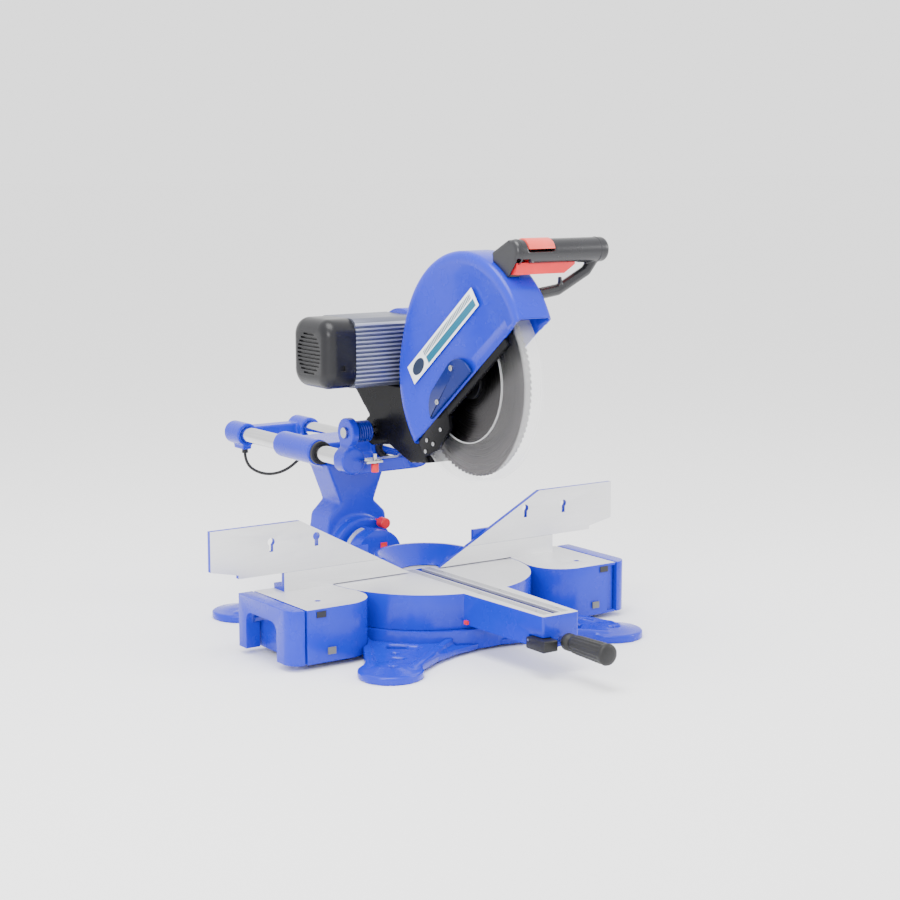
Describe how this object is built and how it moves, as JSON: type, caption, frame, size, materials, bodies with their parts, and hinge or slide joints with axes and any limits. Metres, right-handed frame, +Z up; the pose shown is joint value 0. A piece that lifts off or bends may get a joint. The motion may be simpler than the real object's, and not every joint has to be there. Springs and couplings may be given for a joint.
{
  "type": "sliding compound mitre saw",
  "caption": "Bench-top sliding compound mitre saw with rotating table, tilting arm, twin slide rails, guarded circular blade and sliding fences.",
  "frame": {"origin": "turntable axis at bench level, centre of the four bench bolt holes", "axes": "+X to the operator's right, -Y towards the operator, +Z up"},
  "size_m": [0.802, 1.024, 0.6596],
  "materials": {
    "blue_paint": "cast, gloss blue powder coat",
    "blue_machined": "cast, gloss blue powder coat, top faces milled",
    "machined": "machined",
    "finned": "cast and brushed",
    "chrome_rail": "ground and plated",
    "steel": "brushed",
    "blade_steel": "ground",
    "black_casting": "cast, satin black coat",
    "black_plastic": "fine texture",
    "grip_rubber": "ribbed",
    "red_plastic": "satin",
    "grey_plastic": "satin",
    "clear_plastic": "clear",
    "label": "printed film",
    "cable_rubber": "satin",
    "spring_steel": "painted"
  },
  "bodies": {
    "base": {"base_casting": "blue_machined", "base_feet": "blue_paint", "guide_blocks": "grey_plastic", "turntable_bolt": "steel", "lower_fence": "machined", "fence_bolts": "steel"},
    "extension_left": {"extension_left": "blue_machined", "extension_rods_left": "chrome_rail"},
    "extension_right": {"extension_right": "blue_machined", "extension_rods_right": "chrome_rail"},
    "fence_left": {"upper_fence_left": "machined", "fence_knob_left": "black_plastic"},
    "fence_right": {"upper_fence_right": "machined", "fence_knob_right": "black_plastic"},
    "turntable": {"turntable": "blue_machined", "kerf_insert_left": "machined", "kerf_insert_right": "machined", "kerf_screws": "steel", "mitre_pointer": "red_plastic", "bevel_scale": "label", "bevel_pointer": "red_plastic", "detent_pin": "steel"},
    "mitre_handle": {"mitre_lock_screw": "steel", "mitre_grip": "grip_rubber"},
    "detent": {"detent_lever": "black_plastic"},
    "bevel_arm": {"bevel_arm": "blue_paint", "rail_seals": "black_plastic", "bevel_bolt": "steel", "rail_set_screw": "steel"},
    "bevel_stop": {"bevel_stop_knob": "red_plastic"},
    "bevel_lock": {"bevel_lever": "black_plastic"},
    "carriage": {"rail_left": "chrome_rail", "rail_right": "chrome_rail", "rear_yoke": "blue_paint", "yoke_screws": "steel", "hinge_bracket": "blue_paint", "hinge_pin": "steel", "torsion_spring": "spring_steel", "stop_plate": "steel", "cable_gland": "black_plastic", "cable_loop": "cable_rubber"},
    "depth_stop": {"depth_screw": "steel", "depth_knob": "red_plastic"},
    "head": {"head_arm": "black_casting", "upper_guard": "blue_paint", "bolt_cover": "blue_paint", "cover_screws": "steel", "data_plate": "label", "chip_deflector": "black_plastic", "motor_housing": "finned", "motor_cap": "black_plastic", "drive_case": "blue_paint", "handle": "black_plastic", "trigger_pin": "steel"},
    "blade": {"blade": "blade_steel", "blade_flanges": "steel", "arbor_bolt": "steel"},
    "lower_guard": {"lower_guard": "clear_plastic"},
    "trigger": {"trigger": "red_plastic"},
    "lock_button": {"lock_button": "red_plastic"}
  },
  "joints": [
    {"name": "extension_left_slide", "type": "slide", "parent": "base", "child": "extension_left", "axis": [-1, 0, 0], "range_m": [0, 0.085]},
    {"name": "extension_right_slide", "type": "slide", "parent": "base", "child": "extension_right", "axis": [1, 0, 0], "range_m": [0, 0.085]},
    {"name": "fence_left_slide", "type": "slide", "parent": "base", "child": "fence_left", "axis": [-1, 0, 0], "range_m": [0, 0.085]},
    {"name": "fence_right_slide", "type": "slide", "parent": "base", "child": "fence_right", "axis": [1, 0, 0], "range_m": [0, 0.085]},
    {"name": "mitre", "type": "hinge", "parent": "base", "child": "turntable", "pos_m": [0, 0, 0.06], "axis": [0, 0, -1], "range_deg": [-47, 47]},
    {"name": "mitre_lock_turn", "type": "hinge", "parent": "turntable", "child": "mitre_handle", "pos_m": [0, -0.383, 0.057], "axis": [0, 1, 0], "range_deg": [-180, 180]},
    {"name": "detent_press", "type": "hinge", "parent": "turntable", "child": "detent", "pos_m": [-0.031, -0.343, 0.057], "axis": [1, 0, 0], "range_deg": [0, 10], "stiffness_Nm_per_rad": 0.6, "springref_deg": -8.59},
    {"name": "bevel", "type": "hinge", "parent": "turntable", "child": "bevel_arm", "pos_m": [0, 0.2, 0.096], "axis": [0, -1, 0], "range_deg": [0, 45]},
    {"name": "bevel_stop_pull", "type": "slide", "parent": "bevel_arm", "child": "bevel_stop", "axis": [0, -1, 0], "range_m": [0, 0.006], "stiffness_N_per_m": 200, "springref_m": -0.005},
    {"name": "bevel_lock_turn", "type": "hinge", "parent": "bevel_arm", "child": "bevel_lock", "pos_m": [0, 0.285, 0.096], "axis": [0, 1, 0], "range_deg": [0, 50]},
    {"name": "rail_slide", "type": "slide", "parent": "bevel_arm", "child": "carriage", "axis": [0, 1, 0], "range_m": [-0.125, 0.05], "deforming": ["cable_loop"]},
    {"name": "depth_screw_turn", "type": "hinge", "parent": "carriage", "child": "depth_stop", "pos_m": [-0.034, 0.1, 0.26], "axis": [0, 0, 1], "range_deg": [-180, 180]},
    {"name": "chop", "type": "hinge", "parent": "carriage", "child": "head", "pos_m": [0, 0.13, 0.32], "axis": [-1, 0, 0], "range_deg": [-39, 0], "stiffness_Nm_per_rad": 22, "springref_deg": 114.59},
    {"name": "blade_spin", "type": "hinge", "parent": "head", "child": "blade", "pos_m": [0, -0.137, 0.43], "axis": [1, 0, 0], "continuous": true},
    {"name": "lower_guard_turn", "type": "hinge", "parent": "head", "child": "lower_guard", "pos_m": [0, -0.137, 0.43], "axis": [-1, 0, 0], "range_deg": [-1, 131]},
    {"name": "trigger_pull", "type": "hinge", "parent": "head", "child": "trigger", "pos_m": [0.013, -0.262, 0.6245], "axis": [0, -1, 0], "range_deg": [0, 6], "stiffness_Nm_per_rad": 0.4, "springref_deg": -11.46},
    {"name": "lock_button_press", "type": "slide", "parent": "head", "child": "lock_button", "axis": [0, 0, -1], "range_m": [0, 0.003], "stiffness_N_per_m": 300, "springref_m": -0.003}
  ],
  "couplings": [
    {"joint": "lower_guard_turn", "follows": "chop", "ratio": -3.3333}
  ]
}
